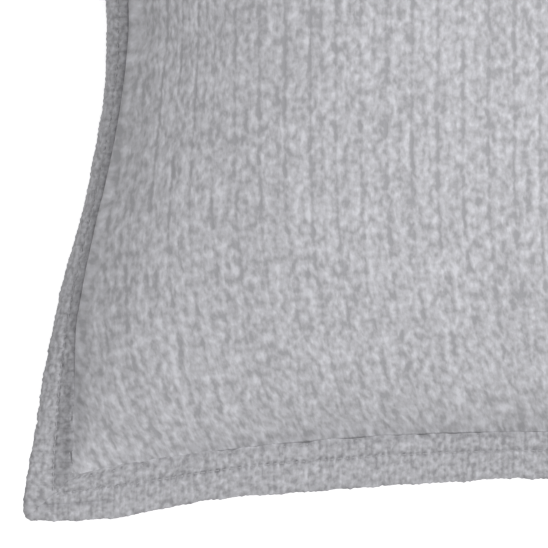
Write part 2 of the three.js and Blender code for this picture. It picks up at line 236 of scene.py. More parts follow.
def closed_panel(name, outer, cloth, thick, ku, kv, up, painted_shade=None):
    """A sheet of cloth with two faces: the fine outer grid, a coarser inner one, and the edge between them.
    outer is (nu, nv, 3), ku and kv are how many outer cells one inner cell spans, up is +1 for the front."""
    nu, nv = outer.shape[:2]
    n = normals_of(outer) * up
    smooth_n = n.copy()
    iu, iv = np.arange(0, nu, ku), np.arange(0, nv, kv)
    if iu[-1] != nu - 1:
        iu = np.append(iu, nu - 1)
    if iv[-1] != nv - 1:
        iv = np.append(iv, nv - 1)
    inner = outer[np.ix_(iu, iv)] - thick * smooth_n[np.ix_(iu, iv)]
    for e in (0, -1):  # at the rim the inner face keeps the rim's height, so that both panels meet edge to edge
        for block, out in ((inner[e, :], outer[np.ix_(iu, iv)][e, :]), (inner[:, e], outer[np.ix_(iu, iv)][:, e])):
            d = block - out
            d[:, 2] = 0
            ln = np.maximum(np.linalg.norm(d, axis=-1, keepdims=True), 1e-6)
            block[:] = out + d / ln * np.minimum(ln, thick)
    V = np.concatenate([outer.reshape(-1, 3), inner.reshape(-1, 3)])
    C = np.concatenate([cloth.reshape(-1, 3), cloth[np.ix_(iu, iv)].reshape(-1, 3)])
    mi, mj = len(iu), len(iv)
    base = nu * nv
    q = np.concatenate([grid_quads(nu, nv, 0, up < 0), grid_quads(mi, mj, base, up > 0)])
    tris = []
    def O(i, j): return i * nv + j
    def I(a, b): return base + a * mj + b
    def strip(outer_ids, inner_ids, marks, flip):
        """outer_ids along an edge; inner_ids sit at the outer positions marks."""
        out = []
        for k in range(len(marks) - 1):
            a, b = marks[k], marks[k + 1]
            mid = (a + b) // 2
            for m in range(a, b):
                out.append((outer_ids[m], outer_ids[m + 1], inner_ids[k] if m < mid else inner_ids[k + 1]))
            out.append((outer_ids[mid] if mid > a else outer_ids[a], inner_ids[k + 1], inner_ids[k]))
        return [t[::-1] for t in out] if flip else out
    f = up < 0
    tris += strip([O(i, 0) for i in range(nu)], [I(a, 0) for a in range(mi)], list(iu), not f)
    tris += strip([O(i, nv - 1) for i in range(nu)], [I(a, mj - 1) for a in range(mi)], list(iu), f)
    tris += strip([O(0, j) for j in range(nv)], [I(0, b) for b in range(mj)], list(iv), f)
    tris += strip([O(nu - 1, j) for j in range(nv)], [I(mi - 1, b) for b in range(mj)], list(iv), not f)
    tris = np.array(tris, np.int64)
    me = bpy.data.meshes.new(name)
    me.vertices.add(len(V))
    me.vertices.foreach_set("co", (V / 1000).astype(np.float32).ravel())
    loops = np.concatenate([q.ravel(), tris.ravel()])
    me.loops.add(len(loops))
    me.loops.foreach_set("vertex_index", loops.astype(np.int32))
    me.polygons.add(len(q) + len(tris))
    starts = np.concatenate([np.arange(len(q)) * 4, len(q) * 4 + np.arange(len(tris)) * 3])
    me.polygons.foreach_set("loop_start", starts.astype(np.int32))
    me.polygons.foreach_set("loop_total", np.concatenate([np.full(len(q), 4), np.full(len(tris), 3)]).astype(np.int32))
    me.update(calc_edges=True)
    me.validate()
    me.polygons.foreach_set("use_smooth", np.ones(len(me.polygons), bool))
    o = bpy.data.objects.new(name, me)
    bpy.context.scene.collection.objects.link(o)
    set_cloth(o, C)
    if painted_shade is not None:
        set_painted_shade(o, np.concatenate([painted_shade.ravel(), painted_shade[np.ix_(iu, iv)].ravel()]))
    return o


# ------------------------------------------------------------------ the stuffed shape, by cloth simulation
GRID = 81


def simulate():
    """Both panels as one closed bag on the measured seam line, inflated. Returns (front, back) grids of points in mm."""
    t = np.linspace(-1, 1, GRID)
    u, v = np.meshgrid(t, t, indexing="ij")
    front = analytic(u, v, True)
    back = analytic(u, v, False)
    free = np.stack([u * x_seam(v), v * y_seam(u), MID_Z - RIM - (BACK_H - RIM) * crown(u) * crown(v)], -1)
    n = GRID * GRID
    start = np.concatenate([front.reshape(-1, 3), free.reshape(-1, 3)])
    start[:, 2] = MID_Z + (start[:, 2] - MID_Z) * 0.92
    flat = np.stack([u * SEAM_X * REST, v * SEAM_Y * REST, np.zeros_like(u)], -1).reshape(-1, 3)
    rest = np.concatenate([flat, flat])
    q = np.concatenate([grid_quads(GRID, GRID, 0), grid_quads(GRID, GRID, n, True)])
    o = new_object("sim_bag", start, q)
    rim = np.zeros((GRID, GRID), bool)
    rim[0, :] = rim[-1, :] = rim[:, 0] = rim[:, -1] = True
    zipped = (np.abs(v * y_seam(u) - ZIP_Y) < 4.5) & (np.abs(u * x_seam(v)) < 168)
    o.vertex_groups.new(name="pin")
    pins = np.concatenate([np.flatnonzero(rim.ravel()), n + np.flatnonzero(rim.ravel())])
    o.vertex_groups["pin"].add([int(i) for i in pins], 1.0, "REPLACE")
    o.shape_key_add(name="Basis", from_mix=False)
    kb = o.shape_key_add(name="flat", from_mix=False)
    kb.data.foreach_set("co", (rest / 1000).astype(np.float32).ravel())
    kb.value = 0.0
    m = o.modifiers.new("cloth", "CLOTH")
    s = m.settings
    s.rest_shape_key = kb
    s.vertex_group_mass = "pin"
    s.quality = 6
    s.mass = 0.25
    s.tension_stiffness = 18
    s.compression_stiffness = 18
    s.shear_stiffness = 8
    s.bending_stiffness = 6.0
    s.tension_damping = s.compression_damping = s.shear_damping = 8
    s.bending_damping = 1.0
    s.air_damping = 3.0
    s.use_pressure = True
    s.uniform_pressure_force = 4.0
    s.effector_weights.gravity = 0
    m.collision_settings.use_collision = False
    m.point_cache.frame_start, m.point_cache.frame_end = 1, 40
    sc = bpy.context.scene
    sc.frame_start, sc.frame_end = 1, 40
    for f in range(1, SIM_FRAMES + 1):
        sc.frame_set(f)
    dg = bpy.context.evaluated_depsgraph_get()
    e = o.evaluated_get(dg)
    co = np.zeros(2 * n * 3, np.float32)
    e.data.vertices.foreach_get("co", co)
    co = co.reshape(2, GRID, GRID, 3).astype(float) * 1000
    bpy.data.objects.remove(o, do_unlink=True)
    sc.frame_set(1)
    return co[0], co[1]


REST = 0.985
SIM_FRAMES = 30
t0 = np.linspace(-1, 1, GRID)
U0, V0 = np.meshgrid(t0, t0, indexing="ij")
sim_front, sim_back = simulate()
print("sim front top", sim_front[..., 2].max(), "back low", sim_back[..., 2].min(),
      "side out", np.abs(sim_front[..., 0]).max(), flush=True)


# ------------------------------------------------------------------ cloth coordinates and fine relief
LEAN_Y = np.array([-233, -206, -183, -160, -137, -114, -91, -60, 0, 60, 140, 190, 233], float)
LEAN_TAN = np.array([0.50, 0.42, 0.26, 0.18, 0.13, 0.09, 0.04, 0, 0, 0, -0.03, -0.10, -0.16], float)
_ly = np.linspace(-240, 240, 481)
_lt = np.interp(_ly, LEAN_Y, LEAN_TAN)
_ld = np.cumsum(_lt[::-1])[::-1] - np.cumsum(_lt[::-1])[::-1][240]


def lean(x, y):
    """How far the wales have slid sideways, in mm: upright in the middle and above, slanting over towards the lower seam."""
    return np.interp(y, _ly, _ld) * (1 - 0.7 * smooth(60, 190, x))


def across(u, v, x):
    """Flat coordinate across the wales: they stand straight over the body and follow the side seams near them."""
    near = smooth(0.70, 1.0, np.abs(u))
    return x + (u * (0.25 * x_seam(v) + 0.75 * SEAM_X) - x) * near


def wale_relief(cx, cy, seed=0.0):
    """Height of the knit's ribs in mm at flat cloth coordinates."""
    k = np.round(cx / WALE)
    r = np.sqrt(0.5 + 0.5 * np.cos(2 * np.pi * cx / WALE) + 0.02)
    deep = 0.5 + 0.5 * np.cos(np.pi * (cx / WALE - 0.5))
    amp = (0.13 + 0.16 * deep) * (0.75 + 0.5 * N1(np.floor(cx / WALE) * 3.7 + seed, cy / 11.0))
    fleck = 0.13 * N2(cx / 2.6 + seed, cy / 4.0) + 0.14 * N3(cx / 5.0, cy / 9.0 + seed)
    amp = amp * (1 - 0.45 * smooth(105, 185, -cy))
    return amp * (r - 1) + 0.4 + fleck


def puckers(u, v, front=True):
    """Soft gathers that run in from the seams, in mm, and the slow unevenness of the filling."""
    x, y = u * 229, v * 233
    s = 1.0 if front else -0.7
    du, dv = (1 - np.abs(u)) * 200, (1 - np.abs(v)) * 210
    fu = np.exp(-(du / 26.0) ** 1.2) * smooth(0, 5, du)
    fv = np.exp(-(dv / 20.0) ** 1.2) * smooth(0, 5, dv)
    side = np.where(u < 0, 0.0, 17.3)
    end = np.where(v < 0, 0.0, 31.7)
    a = 2.3 * fu * N4(y / 21.0 + side + 0.35 * du / 21.0, side + 0.5) + 0.9 * fu * N5(y / 9.5 + side, 2.5 + side)
    b = 1.3 * fv * N4(x / 24.0 + end, end + 5.5) + 0.5 * fv * N5(x / 10.0 + end, 7.5 + end)
    lump = 1.5 * N3(x / 62.0 + 9, y / 70.0 + 4) + 0.7 * N2(x / 31.0 + 3, y / 36.0 + 8)
    lump = lump * smooth(0, 45, du) * smooth(0, 45, dv)
    return s * (a + b) + lump


def panel_points(sim, us, vs, v_of=None, front=True, wales=True):
    """The dense surface of a panel: simulated shape, gathers, then the knit's ribs. Returns points and cloth coordinates."""
    u, v = np.meshgrid(us, vs, indexing="ij")
    if v_of is not None:
        v = v_of(u, v)
        P = cubic_at(sim, u, v)
    else:
        P = cubic(sim, us, vs)
    if front:
        P = rim_shape(P, u, v)
    n = normals_of(P)
    n *= np.sign(n[..., 2:3].mean()) * (1 if front else -1)
    P = P + n * puckers(u, v, front)[..., None] * EDGE_KEEP(u, v, front, P)[..., None]
    cx = across(u, v, P[..., 0]) - lean(P[..., 0], P[..., 1])
    cy = v * SEAM_Y
    if wales:
        n = normals_of(P)
        n *= np.sign(n[..., 2:3].mean()) * (1 if front else -1)
        rim = smooth(0, 2.5, (1 - np.abs(u)) * 200) * smooth(0, 2.5, (1 - np.abs(v)) * 210)
        P = P + n * ((wale_relief(cx, cy, 0 if front else 50) - 0.4) * rim * EDGE_KEEP(u, v, front, P))[..., None]
    return P, np.stack([cx, cy, np.full_like(cx, 0 if front else 300.0)], -1)


def rim_shape(P, u, v):
    """The front leaves its end seams at a gentler slope, and its side seams over a small roll of cloth."""
    dx, dy = (1 - np.abs(u)) * 200, (1 - np.abs(v)) * 215
    k = ((dy + 0.02) / (dy + 5.0)) ** 0.6 / (215.0 / 220.0) ** 0.6
    k = 1 - (1 - k) * smooth(0, 14, dx + 2)
    k2 = ((dx + 0.02) / (dx + 1.0 + 4.0 * smooth(0.70, 0.88, np.abs(v)))) ** 0.5
    P[..., 2] = MID_Z + RIM + (P[..., 2] - MID_Z - RIM) * np.minimum(k, 1) * k2
    P[..., 2] += 1.5 * np.exp(-((dx - 2.4) / 1.5) ** 2) * smooth(0, 1.2, dx) * (1 - smooth(0.45, 0.8, np.abs(v)))
    P[..., 0] += np.sign(u) * 2.7 * np.exp(-((dx - 1.5) / 1.7) ** 2) * smooth(0, 1.1, dx) * (1 - smooth(0.66, 0.84, np.abs(v)))
    return P


def EDGE_KEEP(u, v, front, P):
    """The back stays flat where it lies and along the zip."""
    if front:
        return np.ones_like(u)
    w = smooth(0.5, 9, P[..., 2])
    return w * (1 - zip_weight(P[..., 0], P[..., 1]))


# front panel: eight columns to a wale, so that the ribs are real
n_wales = int(round(2 * SEAM_X / WALE))
NU, NV = n_wales * 8 + 1, 145
us = np.linspace(-1, 1, NU)
us = us * (1 + 0.10 * (1 - us * us))
us /= np.abs(us).max()
vs = np.sin(np.linspace(-1, 1, NV) * np.pi / 2) * 0.6 + np.linspace(-1, 1, NV) * 0.4


front_sim = sim_front.copy()
top_z = front_sim[..., 2].max()
front_sim[..., 2] = MID_Z + RIM + (front_sim[..., 2] - MID_Z - RIM) * (FRONT_H - RIM) / (top_z - MID_Z - RIM)
Pf, Cf = panel_points(front_sim, us, vs)
uu, vv = np.meshgrid(us, vs, indexing="ij")
# painted shade: the foot of the front beside the side seams, towards the corners, is darkened in colour where it lies
# in the seam valley's shade
foot = np.exp(-((1 - np.abs(uu)) * 200 / 4.0) ** 2) * smooth(0.66, 0.80, np.abs(vv)) * (1 - smooth(0.95, 0.99, np.abs(vv)))
front = closed_panel("front_panel_cloth", Pf, Cf, 1.6, 8, 3, +1, 0.6 * foot)
print("front faces", len(front.data.polygons), flush=True)


# ------------------------------------------------------------------ back panels, either side of the zip
back_sim = sim_back.copy()
low = back_sim[..., 2].min()
back_sim[..., 2] = MID_Z - RIM - (MID_Z - RIM - back_sim[..., 2]) * (BACK_H - RIM) / (MID_Z - RIM - low)
back_sim[..., 2] = settle(back_sim[..., 2])
ana = analytic(U0, V0, False)
keep = (1 - smooth(17, 46, np.abs(ana[..., 1] - ZIP_Y))) * (1 - smooth(172, 214, np.abs(ana[..., 0])))
back_sim = back_sim + (ana - back_sim) * keep[..., None]


def slot_v(u, side, extra=0.0):
    g = 0.15 + (0.8 - 0.15) * (1 - smooth(ZIP_HALF, ZIP_HALF + 8, np.abs(u * SEAM_X * 0.955)))
    return (ZIP_Y + side * (g + extra)) / y_seam(u)


def back_panel(name, side, rows, end_power):
    r = np.linspace(0, 1, rows)
    r = r ** 1.0
    near = 6.0 / (450.0 if side > 0 else 46.0)   # first rows are close together, to turn the edge at the zip

    def v_of(u, s01):
        a = slot_v(u, side)
        return a + (side * 1.0 - a) * s01
    if side > 0:
        head = np.array([0, 0.0012, 0.0028, 0.0055, 0.010])
        body = np.linspace(0.018, 1, rows - 5)
        body = 0.018 + (1 - 0.018) * np.sin((body - 0.018) / (1 - 0.018) * np.pi / 2) ** 0.9
        vals = np.concatenate([head, body])
    else:
        head = np.array([0, 0.012, 0.028, 0.055, 0.09])
        vals = np.concatenate([head, np.linspace(0.14, 1, rows - 5)])
    u, s01 = np.meshgrid(us, vals, indexing="ij")
    v = v_of(u, s01)
    P = cubic_at(back_sim, u, v)
    # exact height on the zip's plane, whatever the sampling
    w = zip_weight(P[..., 0], P[..., 1])
    y = v * y_seam(u)
    P[..., 1] += (y - P[..., 1]) * w
    P[..., 2] += (zip_plane(P[..., 1]) - P[..., 2]) * w
    def outward(P):
        n = normals_of(P)
        return n * -np.sign(n[..., 2:3].mean())
    n = outward(P)
    P = P + n * (puckers(u, v, False) * EDGE_KEEP(u, v, False, P))[..., None]
    cx = across(u, v, P[..., 0]) - 0.5 * lean(P[..., 0], P[..., 1])
    cy = v * SEAM_Y
    n = outward(P)
    rim = smooth(0, 2.5, (1 - np.abs(u)) * 200) * smooth(0, 2.5, (1 - np.abs(v)) * 210)
    flat = smooth(0.0, 5.0, P[..., 2])
    relief = (wale_relief(cx, cy, 50) - 0.8) * rim * (0.25 + 0.75 * flat)
    P = P + n * relief[..., None]
    d = np.abs(y - side * 0.8 - ZIP_Y)
    lip = 0.9 * (1 - smooth(0, 2.4, d)) * (1 - smooth(150, 175, np.abs(P[..., 0])) * 0.6)
    groove = 0.7 * (1 - smooth(0, 1.6, d)) * smooth(ZIP_HALF, ZIP_HALF + 8, np.abs(P[..., 0]))
    P = P - n * (lip + groove)[..., None]
    P[..., 2] = np.maximum(P[..., 2], 0.0)
    C = np.stack([cx, cy, np.full_like(cx, 300.0)], -1)
    if side < 0:
        P, C = P[:, ::-1], C[:, ::-1]
    return closed_panel(name, P, C, 1.2, 8, 3, -1)


back_upper = back_panel("back_panel_upper_cloth", +1, 150, 1)
back_lower = back_panel("back_panel_lower_cloth", -1, 30, 1)

# ------------------------------------------------------------------ flange: four folded strips with mitred corners
def flange_inner(side, t, g):
    sx = {"left": -1, "right": 1, "bottom": 0, "top": 0}[side]
    if side in ("left", "right"):
        return np.stack([sx * (x_seam(t) + g), t * (SEAM_Y + g), np.full_like(t, MID_Z)], -1)
    sy = -1 if side == "bottom" else 1
    return np.stack([t * (SEAM_X + g), sy * (y_seam(t) + g), np.full_like(t, MID_Z)], -1)


SIDE_AT = np.array([0, .08, .12, .16, .2, .24, .28, .32, .36, .4, .44, .48, .52, .56, .6, .64, .68, .72, .76, .8, .84, .88, .92, .96, 1.0])
SIDE_IN = np.array([43.2, 43.0, 42.0, 40.8, 39.6, 37.9, 35.7, 33.5, 31.4, 29.1, 26.3, 23.7, 21.1, 18.5, 16.2, 14.2, 12.6, 10.9, 9.1, 7.5, 6.0, 4.3, 2.2, 0.6, 0.0])
END_AT = np.array([0, .06, .14, .22, .30, .38, .46, .54, .62, .66, .70, .74, .78, .82, .86, .90, .95, 1.0])
END_IN = np.array([21.2, 20.4, 19.3, 18.5, 17.4, 15.6, 14.2, 12.8, 10.3, 8.6, 6.9, 4.9, 3.0, 1.4, 0.4, 0.0, 0.0, 0.0])


def outline(at, depth, t):
    """A measured inset, with its corners rounded off."""
    t = np.abs(t)
    return sum(w * np.interp(t + d, np.concatenate([-at[:0:-1], at]), np.concatenate([depth[:0:-1], depth]))
               for d, w in ((-0.03, 0.2), (0, 0.6), (0.03, 0.2)))


def flange_outer(side, t):
    r = TIP_R
    k = r * (1 - math.sqrt(0.5))
    if side in ("left", "right"):
        sx = -1 if side == "left" else 1
        y = t * (TIP_Y - k)
        x = TIP_X - outline(SIDE_AT, SIDE_IN, t) - 1.7 * half(t) ** 0.7
        over = np.maximum(0, np.abs(y) - (TIP_Y - r))
        x = x - (r - np.sqrt(np.maximum(0, r * r - over * over)))
        z = MID_Z - 4 - 16 * half(t) ** 0.8
        return np.stack([sx * x, y, z], -1)
    sy = -1 if side == "bottom" else 1
    x = t * (TIP_X - k)
    y = TIP_Y - outline(END_AT, END_IN, t)
    over = np.maximum(0, np.abs(x) - (TIP_X - r))
    y = y - (r - np.sqrt(np.maximum(0, r * r - over * over)))
    z = MID_Z - 4 - 3 * half(t)
    return np.stack([x, sy * y, z], -1)


STITCH_AT = 0.37
RIB = 2.9
PITCH = 3.9


def flange_height(s):
    base = 0.7 + 1.2 * smooth(-0.03, 0.15, s) + 0.5 * smooth(0.45, 0.78, s)
    groove = 0.95 * np.exp(-((s - STITCH_AT) / 0.06) ** 2)
    end = np.sqrt(np.maximum(0, 1 - (np.maximum(0, s - 0.84) / 0.16) ** 2))
    return (base - groove) * end


def flange_base(side, t, s, seed):
    """Point on the strip's middle surface, and its upward normal. s runs from the seam to the outer fold."""
    I, O = flange_inner(side, t, 0.0), flange_outer(side, t)
    L = t * 254.0
    wave = 0.9 * N4(L / 34.0 + seed, 3.3) + 0.45 * N5(L / 12.0 + seed, 9.1)
    tuft = 0.60 * N2(L / 4.3 + seed, 1.7) + 0.34 * N3(L / 2.0 + seed, 5.9)
    calm = smooth(0, 6, (1 - np.abs(t)) * 254)
    A = O - I
    ln = np.linalg.norm(A, axis=-1, keepdims=True)
    e1 = A / ln
    # the side strips curl back more and more towards their outer fold
    w = half(t) ** 0.7 if side in ("left", "right") else 0.0 * t
    q = np.clip(s, 0, 1)
    flat = A * np.array([1.0, 1.0, 0.0])
    drop = A * np.array([0.0, 0.0, 1.0])
    ex, ez = 1 + 0.7 * w, 1 + 0.5 * w
    run_x, run_z = 1 - (1 - q) ** ex + np.minimum(s, 0), q ** ez + np.minimum(s, 0)
    way = flat * (ex * np.maximum(1 - q, 0.02) ** (ex - 1))[..., None] + drop * (ez * np.maximum(q, 0.02) ** (ez - 1))[..., None]
    d = 1e-3
    T = flange_inner(side, np.minimum(1, t + d), 0.0) - flange_inner(side, np.maximum(-1, t - d), 0.0)
    T /= np.linalg.norm(T, axis=-1, keepdims=True)
    up = np.cross(way, T)
    up *= np.sign(up[..., 2:3])
    up /= np.linalg.norm(up, axis=-1, keepdims=True)
    extra = (wave * 0.35 + tuft * 0.8 * smooth(0.7, 1.0, s)) * calm * smooth(0.2, 1.0, s)
    lift = (1.5 * N1(L / 46.0 + seed, 2.0) + 0.8 * N4(L / 19.0 + seed, 12.0)) * smooth(0.15, 1.0, s) * calm
    return I + flat * run_x[..., None] + drop * run_z[..., None] + e1 * extra[..., None] + up * lift[..., None], up, T


def calm_ends(t):
    return smooth(2, 12, (1 - np.abs(t)) * 254)


def flange_strip(side, seed):
    nt = int(round(2 * 254 / RIB * (4))) + 1
    t = np.linspace(-1.0015, 1.0015, nt)
    s_top = np.concatenate([[-0.08, -0.03], np.linspace(0.01, 0.30, 7), [0.325, 0.345, 0.37, 0.395, 0.415], [0.45, 0.50, 0.55, 0.59, 0.615, 0.64, 0.665, 0.69, 0.73, 0.785, 0.84], [0.875, 0.91, 0.94, 0.965, 0.985]])
    s_all = np.concatenate([s_top, [1.0], s_top[::-1]])
    sgn = np.concatenate([np.ones(len(s_top)), [0.0], -np.ones(len(s_top))])
    T, S = np.meshgrid(t, s_all, indexing="ij")
    P, up, _ = flange_base(side, T, S, seed)
    along = P[..., 1] if side in ("left", "right") else P[..., 0]
    h = flange_height(S)
    end = 0.86 + 0.14 * smooth(0, 2.2, (1 - np.abs(T)) * 254)
    ribs = np.round(along / RIB)
    rib = (0.26 + 0.18 * N1(ribs * 2.3 + seed, S * 5.0)) * (0.5 + 0.5 * np.cos(2 * np.pi * along / RIB))
    fleck = 0.26 * N2(along / 2.0 + seed, S * 24 / 2.2) + 0.28 * N3(along / 5.0 + seed, S * 24 / 4.0)
    dimple = 0.45 * np.exp(-((S - STITCH_AT) / 0.05) ** 2) * np.cos(2 * np.pi * T * 254 / PITCH)
    crease = (1.5 if side in ("bottom", "top") else 0.2) * np.exp(-((S - 0.64) / 0.035) ** 2) * smooth(203, 214, np.abs(along)) * (sgn > 0)
    live = smooth(0.02, 0.12, S)
    # the cloth beside the seam swells and sinks, so the seam shows as broken dashes
    broken = 0.75 * N2(along / 6.5 + seed, 8.1) + 0.5 * N3(along / 2.9 + seed, 4.3)
    swell = 1.1 * np.maximum(broken + 0.40, -0.4) * np.exp(-((S - 0.01) / 0.06) ** 2) * (sgn > 0)
    hh = h * end + live * (rib + fleck * 0.8 + dimple - 0.15) * np.where(sgn == 0, 0, 1) - crease + swell * calm_ends(T)
    hh = np.maximum(hh, 0.25)
    hh = np.where(sgn == 0, 0, hh)
    V = P + up * (hh * sgn)[..., None]
    # the outer fold itself carries the ribs outwards
    O = P - flange_base(side, T, S - 0.05, seed)[0]
    O /= np.linalg.norm(O, axis=-1, keepdims=True)
    V = V + O * ((rib + 0.6 * fleck) * smooth(0.86, 1.0, S))[..., None]
    m = len(s_all)
    i, j = np.meshgrid(np.arange(nt - 1), np.arange(m), indexing="ij")
    a = i * m + j
    b = i * m + (j + 1) % m
    q = np.stack([a, b, b + m, a + m], -1).reshape(-1, 4)
    caps = []
    k = len(s_top)
    for base in (0, (nt - 1) * m):
        for c in range(k):
            lo, hi = base + c, base + c + 1
            lo2, hi2 = base + m - 1 - c, base + m - 2 - c
            f = (lo, lo2, hi2, hi) if hi != hi2 else (lo, lo2, hi, hi)
            caps.append(f if base == 0 else f[::-1])
    faces = [tuple(x) for x in q] + [tuple(dict.fromkeys(c)) for c in caps]
    o = new_object("flange_" + side + "_cloth", V, faces)
    me = o.data
    import bmesh
    bm = bmesh.new(); bm.from_mesh(me); bmesh.ops.recalc_face_normals(bm, faces=bm.faces); bm.to_mesh(me); bm.free()
    me.polygons.foreach_set("use_smooth", np.ones(len(me.polygons), bool))
    C = np.stack([along, S * 24 * np.where(sgn < 0, -1, 1) + np.where(sgn < 0, 48, 0), np.full_like(S, 100.0 * (seed % 7 + 1))], -1)
    set_cloth(o, C)
    # painted shade: the colour is darkened in the seam valley (more on the side strips, whose valley lies in the body's
    # shadow, and in dashes on the end strips where the cloth beside the seam sinks), in the dents of the stitch row and
    # in the corner crease
    far = smooth(0.70, 0.85, np.abs(T)) * (1 - smooth(0.95, 1.0, np.abs(T)))
    valley = np.exp(-((S - 0.08) / (0.16 + 0.03 * far)) ** 2) * ((0.85 + 0.45 * far) if side in ("left", "right") else 0.12)
    if side in ("bottom", "top"):
        valley = valley + np.exp(-((S - 0.02) / 0.05) ** 2) * (0.34 - 0.22 * np.cos(2 * np.pi * T * 254 / 3.3)) * np.clip(0.9 - 1.3 * broken, 0.1, 2.2)
    row = np.exp(-((S - STITCH_AT) / 0.05) ** 2) * (0.30 - 0.25 * np.cos(2 * np.pi * T * 254 / PITCH))
    fold = crease * 0.35
    set_painted_shade(o, np.clip(valley + row + fold, 0, 1.4))
    return o


flange = {s: flange_strip(s, i * 13.7 + 2) for i, s in enumerate(("left", "bottom", "right", "top"))}


# ------------------------------------------------------------------ sewing thread, one short run between each pair of holes
def thread_runs(name, centre, tangent, up, lengths, radius, sink=0.55, sides=6, seg=6):
    """centre, tangent, up: (n, 3). Each run is a bowed capsule whose ends dive into the cloth."""
    n = len(centre)
    k = np.linspace(-1, 1, seg + 1)
    r = radius * np.sqrt(np.maximum(0.03, 1 - np.maximum(0, (np.abs(k) - 0.72) / 0.28) ** 2))
    side = np.cross(tangent, up)
    a = 2 * np.pi * np.arange(sides) / sides
    ctr = centre[:, None] + tangent[:, None] * (k[None, :, None] * lengths[:, None, None] / 2) - up[:, None] * (sink * np.abs(k) ** 3)[None, :, None]
    ring = side[:, None, None] * np.cos(a)[None, None, :, None] + up[:, None, None] * np.sin(a)[None, None, :, None]
    V = ctr[:, :, None] + ring * r[None, :, None, None]
    # two plies, twisted: a slight wobble of the surface
    i, j, c = np.meshgrid(np.arange(n), np.arange(seg), np.arange(sides), indexing="ij")
    base = i * (seg + 1) * sides
    p = base + j * sides + c
    q = base + j * sides + (c + 1) % sides
    quads = np.stack([p, q, q + sides, p + sides], -1).reshape(-1, 4)
    faces = [tuple(x) for x in quads]
    for t in range(n):
        b = t * (seg + 1) * sides
        faces.append(tuple(b + x for x in range(sides))[::-1])
        faces.append(tuple(b + seg * sides + x for x in range(sides)))
    o = new_object(name, V, faces)
    ii = np.repeat(np.arange(n), (seg + 1) * sides)
    kk = np.tile(np.repeat(k, sides), n)
    aa = np.tile(np.tile(a, seg + 1), n)
    set_cloth(o, np.stack([ii * 3.7 + kk * 1.6, aa * radius, np.full(len(ii), 700.0)], -1))
    import bmesh
    bm = bmesh.new(); bm.from_mesh(o.data); bmesh.ops.recalc_face_normals(bm, faces=bm.faces); bm.to_mesh(o.data); bm.free()
    o.data.polygons.foreach_set("use_smooth", np.ones(len(o.data.polygons), bool))
    return o


def flange_run(s_at, lift, pitch, length, radius, name, face=1, off=0.0):
    Cs, Ts, Us, Ls = [], [], [], []
    for i, side in enumerate(("left", "bottom", "right", "top")):
        seed = i * 13.7 + 2
        reach = 254.0 * (1 - 0.085 * s_at / 0.37 * 0.9) if s_at > 0.1 else 236.0
        n = int(2 * 254 / pitch)
        t = (np.arange(n) - (n - 1) / 2) * pitch / 254
        t = t[np.abs(t) < 0.992]
        S = np.full_like(t, s_at)
        P, up, T = flange_base(side, t, S, seed)
        P2, _, _ = flange_base(side, t + 1e-3, S, seed)
        T = P2 - P
        T /= np.linalg.norm(T, axis=-1, keepdims=True)
        rs = np.random.RandomState(int(seed * 10) + (0 if face > 0 else 5))
        h = flange_height(S) + lift
        Cs.append(P + up * (h * face)[:, None] + T * (off + rs.uniform(-0.2, 0.2, len(t)))[:, None])
        Ts.append(T); Us.append(up * face)
        local = np.linalg.norm(P2 - P, axis=-1) / 1e-3 / 254
        Ls.append(length * local * rs.uniform(0.92, 1.08, len(t)))
    return thread_runs(name, np.concatenate(Cs), np.concatenate(Ts), np.concatenate(Us), np.concatenate(Ls), radius)


top_front = flange_run(STITCH_AT, 0.10, PITCH, 3.3, 0.36, "flange_topstitch_front_thread")
top_back = flange_run(STITCH_AT, 0.10, PITCH, 3.3, 0.36, "flange_topstitch_back_thread", face=-1, off=PITCH / 2)
seam_thread = flange_run(0.035, -0.25, 3.1, 2.3, 0.34, "body_seam_stitches")

# ------------------------------------------------------------------ the insert
def inward(P):
    d = np.stack([-P[..., 0] / SEAM_X**2, -P[..., 1] / SEAM_Y**2, -(P[..., 2] - MID_Z) / 75.0**2], -1)
    return d / np.linalg.norm(d, axis=-1, keepdims=True)


def insert_shell(name, front_side, n, off, amp, freq, seed):
    t = np.sin(np.linspace(-1, 1, n) * np.pi / 2) * 0.6 + np.linspace(-1, 1, n) * 0.4
    u, v = np.meshgrid(t, t, indexing="ij")
    P = analytic(u, v, front_side)
    P = P + inward(P) * off
    edge = smooth(0, 0.12, 1 - np.maximum(np.abs(u), np.abs(v)))
    x, y = u * 229, v * 233
    N = Noise(seed)
    bump = amp * (N(x / freq, y / freq) * 0.6 + 0.4 * N(x / (freq * 0.45) + 7, y / (freq * 0.45)))
    gather = 0.5 * N(x / 7.0 + 3, 0.5) * np.exp(-(1 - np.abs(v)) * 25) + 0.5 * N(0.5, y / 7.0) * np.exp(-(1 - np.abs(u)) * 25)
    P = P + inward(P) * ((np.abs(bump) + gather + 0.0) * edge)[..., None]
    return u, v, P


parts_insert = []
u, v, P = insert_shell("f", True, 110, INSERT_OFF, 0.25, 30.0, 81)
ins_front = closed_panel("insert_front_cloth", P, np.stack([u * 229, v * 233, np.full_like(u, 500.0)], -1), 0.5, 3, 3, +1)
u, v, P = insert_shell("b", False, 110, INSERT_OFF, 0.25, 30.0, 82)
ins_back = closed_panel("insert_back_cloth", P, np.stack([u * 229, v * 233, np.full_like(u, 540.0)], -1), 0.5, 3, 3, -1)
